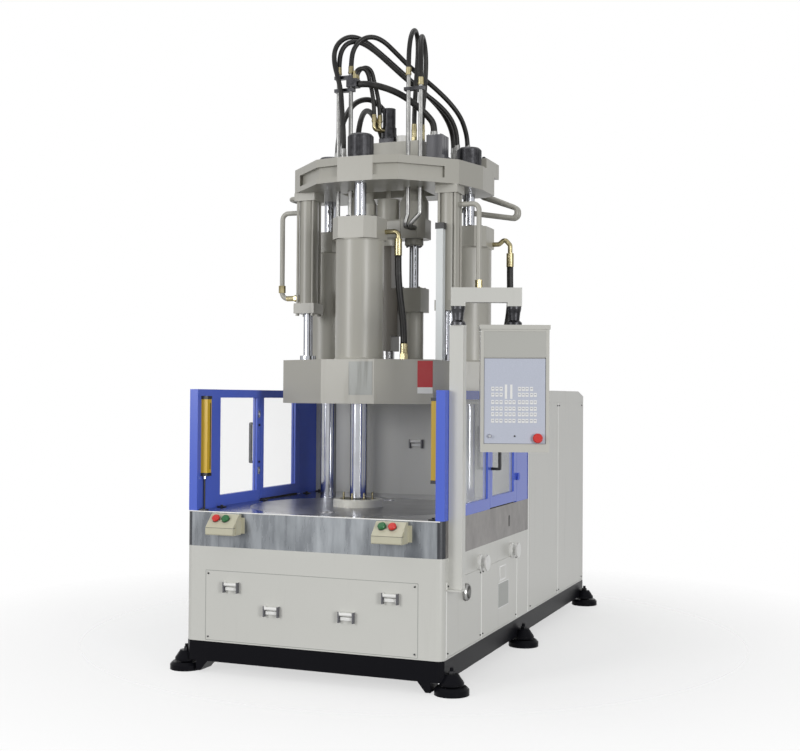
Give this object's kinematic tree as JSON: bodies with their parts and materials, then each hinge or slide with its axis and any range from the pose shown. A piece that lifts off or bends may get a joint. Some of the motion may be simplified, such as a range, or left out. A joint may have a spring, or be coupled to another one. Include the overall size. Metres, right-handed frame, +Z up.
{
  "type": "injection moulding machine",
  "caption": "Vertical tie-bar injection moulding machine with a rotary table, an overhead injection unit, guarded sides, a swinging control panel and a tall rear cabinet.",
  "frame": {"origin": "on the floor, at the centre of the cabinet's footprint", "axes": "+Z up, the operator stands at -Y, +X to the operator's right"},
  "size_m": [2.1328, 3.2339, 3.7474],
  "materials": {
    "cream_enamel": "satin",
    "white_enamel": "satin",
    "blue_enamel": "satin",
    "black_enamel": "satin",
    "grey_enamel": "satin",
    "yellow_enamel": "satin",
    "stainless_sheet": "brushed",
    "machined_steel": "machined",
    "chromed_steel": "polished",
    "black_steel": "oiled",
    "anodised_aluminium": "satin",
    "clear_pane": "clear",
    "black_rubber": "matte",
    "red_plastic": "gloss",
    "green_plastic": "gloss",
    "white_plastic": "matte"
  },
  "bodies": {
    "frame": {"base_frame": "black_enamel", "levelling_feet": "machined_steel", "lower_cabinet": "white_enamel", "front_access_panel": "white_enamel", "side_panels": "white_enamel", "panel_pulls": "chromed_steel", "table_cover": "stainless_sheet", "lower_platen": "cream_enamel", "tie_bars": "chromed_steel", "tie_bar_nuts": "black_steel", "top_platen": "cream_enamel", "lift_cylinders": "cream_enamel", "steel_pipes": "cream_enamel", "top_manifolds": "grey_enamel", "rear_cabinet": "white_enamel", "power_unit": "grey_enamel", "guard_frames": "blue_enamel", "guard_windows": "clear_pane", "light_curtains": "yellow_enamel", "two_hand_boxes": "white_enamel", "control_post": "white_enamel", "side_fittings": "white_plastic", "overhead_hose_rear": "black_rubber", "overhead_hose_front": "black_rubber", "left_loop_hose": "black_rubber", "arc_hose_front": "black_rubber", "arc_hose_rear": "black_rubber", "hose_bundle": "black_rubber"},
    "moving_unit": {"moving_platen": "cream_enamel", "clamp_cylinders": "cream_enamel", "lift_rods": "chromed_steel", "carriage_cylinders": "cream_enamel", "platen_pipework": "machined_steel", "position_ruler": "anodised_aluminium", "clamp_hose_front": "black_rubber", "clamp_hose_right": "black_rubber", "motor_hose_front": "black_rubber", "motor_hose_rear": "black_rubber"},
    "injection_unit": {"injection_housing": "cream_enamel", "injection_motor": "black_steel", "injection_barrel": "machined_steel", "barrel_cover": "white_enamel", "carriage_rods": "chromed_steel", "injection_pipework": "machined_steel", "hairpin_hose_left": "black_rubber", "hairpin_hose_right": "black_rubber"},
    "turntable": {"rotary_table": "machined_steel", "centre_hub": "machined_steel"},
    "right_door": {"right_door": "blue_enamel", "right_door_window": "clear_pane"},
    "left_door": {"left_door": "blue_enamel", "left_door_window": "clear_pane"},
    "arm": {"swing_arm": "white_enamel"},
    "panel": {"control_panel": "white_enamel"},
    "stop_button": {"emergency_stop": "red_plastic"},
    "key": {"key_switch": "chromed_steel"},
    "left_box_left_button": {"left_box_left_button": "red_plastic"},
    "left_box_right_button": {"left_box_right_button": "green_plastic"},
    "right_box_left_button": {"right_box_left_button": "green_plastic"},
    "right_box_right_button": {"right_box_right_button": "red_plastic"}
  },
  "joints": [
    {"name": "platen_slide", "type": "slide", "parent": "frame", "child": "moving_unit", "axis": [0, 0, 1], "range_m": [-0.34, 0.035], "deforming": ["overhead_hose_rear", "overhead_hose_front", "hose_bundle"]},
    {"name": "injection_slide", "type": "slide", "parent": "moving_unit", "child": "injection_unit", "axis": [0, 0, 1], "range_m": [-0.06, 0], "deforming": ["motor_hose_rear", "motor_hose_front"]},
    {"name": "table_turn", "type": "hinge", "parent": "frame", "child": "turntable", "pos_m": [0, -0.909, 0.885], "axis": [0, 0, 1], "range_deg": [0, 180]},
    {"name": "right_door_hinge", "type": "hinge", "parent": "frame", "child": "right_door", "pos_m": [0.762, -0.2125, 1.2], "axis": [0, 0, 1], "range_deg": [0, 100]},
    {"name": "left_door_hinge", "type": "hinge", "parent": "frame", "child": "left_door", "pos_m": [-0.762, -0.2125, 1.2], "axis": [0, 0, -1], "range_deg": [0, 100]},
    {"name": "arm_swing", "type": "hinge", "parent": "frame", "child": "arm", "pos_m": [0.791, -1.454, 1.99], "axis": [0, 0, 1], "range_deg": [-90, 20]},
    {"name": "panel_turn", "type": "hinge", "parent": "arm", "child": "panel", "pos_m": [1.06351, -1.35481, 1.9], "axis": [0, 0, 1], "range_deg": [-40, 40]},
    {"name": "emergency_stop_press", "type": "slide", "parent": "panel", "child": "stop_button", "axis": [-0.342, 0.9397, 0], "range_m": [0, 0.004], "stiffness_N_per_m": 1500},
    {"name": "key_turn", "type": "hinge", "parent": "panel", "child": "key", "pos_m": [0.9678, -1.463, 1.3237], "axis": [0.342, -0.9397, 0], "range_deg": [-45, 45]},
    {"name": "left_box_left_button_press", "type": "slide", "parent": "frame", "child": "left_box_left_button", "axis": [0, 0.7018, -0.7124], "range_m": [0, 0.006], "stiffness_N_per_m": 600},
    {"name": "left_box_right_button_press", "type": "slide", "parent": "frame", "child": "left_box_right_button", "axis": [0, 0.7018, -0.7124], "range_m": [0, 0.006], "stiffness_N_per_m": 600},
    {"name": "right_box_left_button_press", "type": "slide", "parent": "frame", "child": "right_box_left_button", "axis": [0, 0.7018, -0.7124], "range_m": [0, 0.006], "stiffness_N_per_m": 600},
    {"name": "right_box_right_button_press", "type": "slide", "parent": "frame", "child": "right_box_right_button", "axis": [0, 0.7018, -0.7124], "range_m": [0, 0.006], "stiffness_N_per_m": 600}
  ]
}
